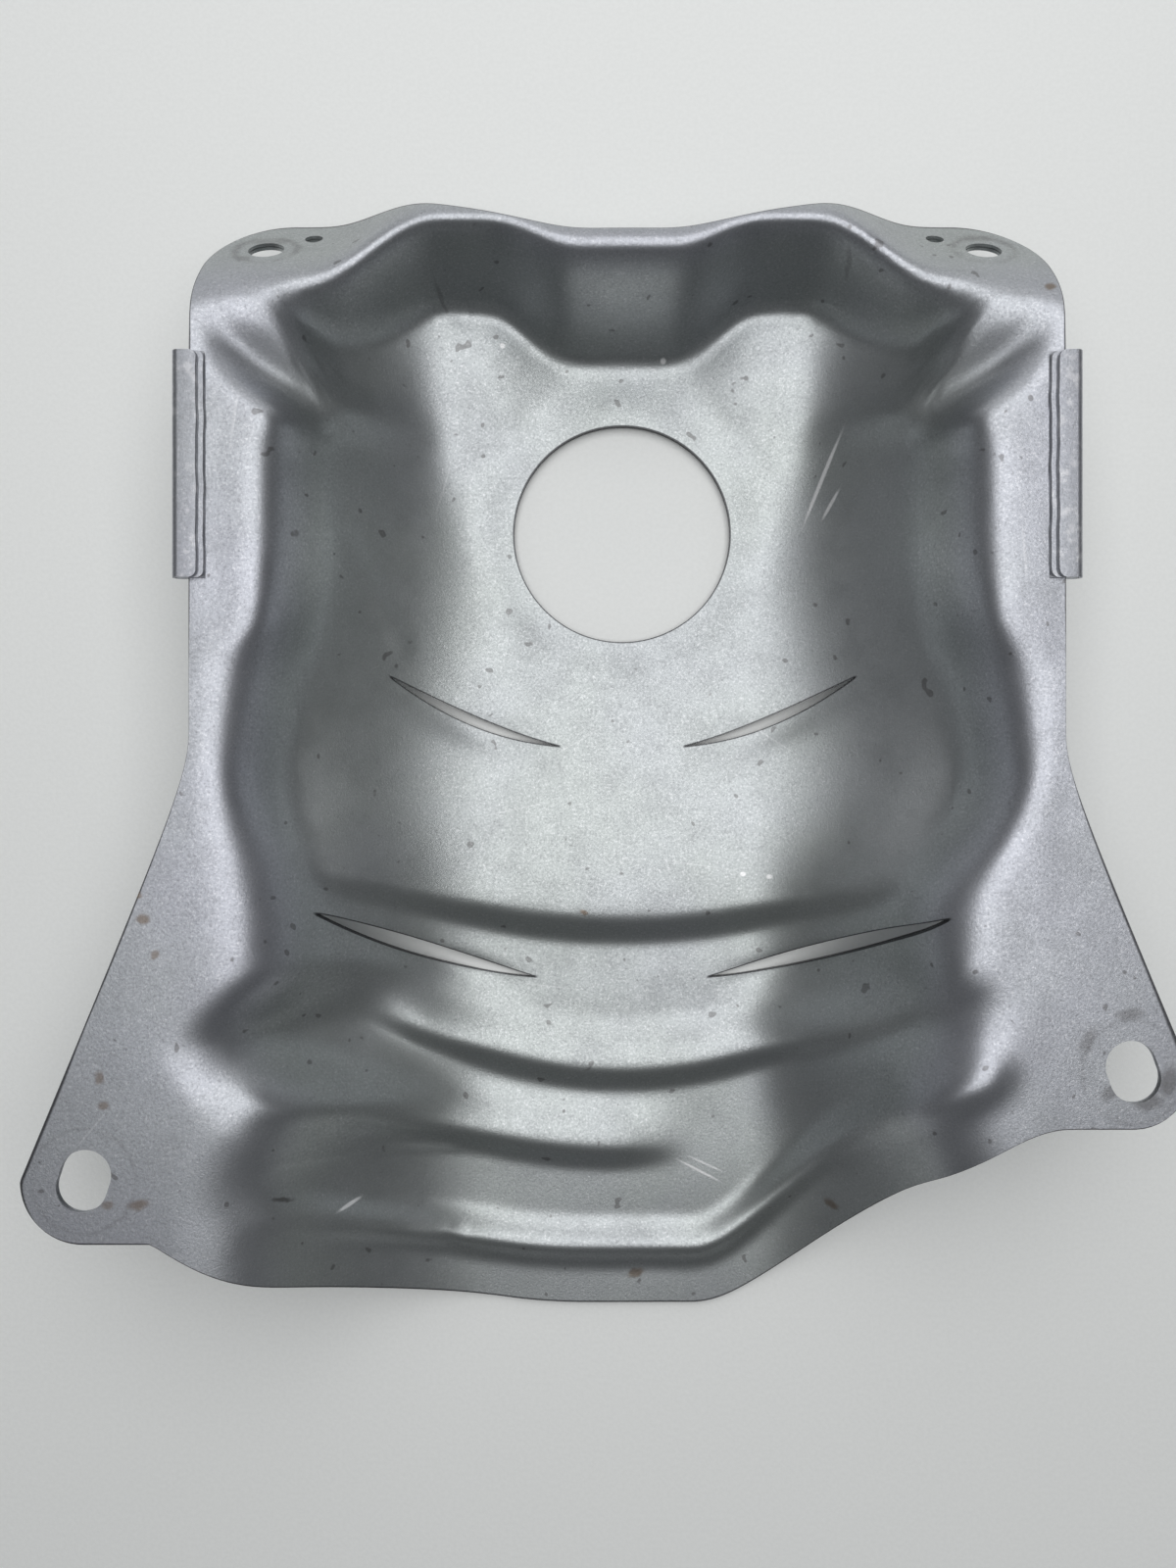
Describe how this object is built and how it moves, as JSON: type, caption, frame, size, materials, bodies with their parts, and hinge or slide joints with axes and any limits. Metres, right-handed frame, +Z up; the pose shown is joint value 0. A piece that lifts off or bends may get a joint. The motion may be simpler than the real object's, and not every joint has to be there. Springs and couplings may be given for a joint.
{
  "type": "exhaust heat shield",
  "caption": "Pressed two-ply sheet steel heat shield: a ribbed trough with a sensor hole, a folded bolt flange, vent slits, hemmed edges and slotted ears.",
  "frame": {"origin": "on the axis of the sensor hole, at the lowest face of the pad, which is the surface the shield lies on", "axes": "+X across the trough to the right ear, +Y along the trough towards the folded bolt flange, +Z up out of the hollow"},
  "size_m": [0.2949, 0.3065, 0.0528],
  "materials": {
    "inner_sheet": "satin aluminised, fine sparkle grain, scuffed",
    "outer_sheet": "satin aluminised, fine sparkle grain"
  },
  "bodies": {
    "root": {"inner_sheet": "inner_sheet", "outer_sheet": "outer_sheet"}
  },
  "joints": []
}
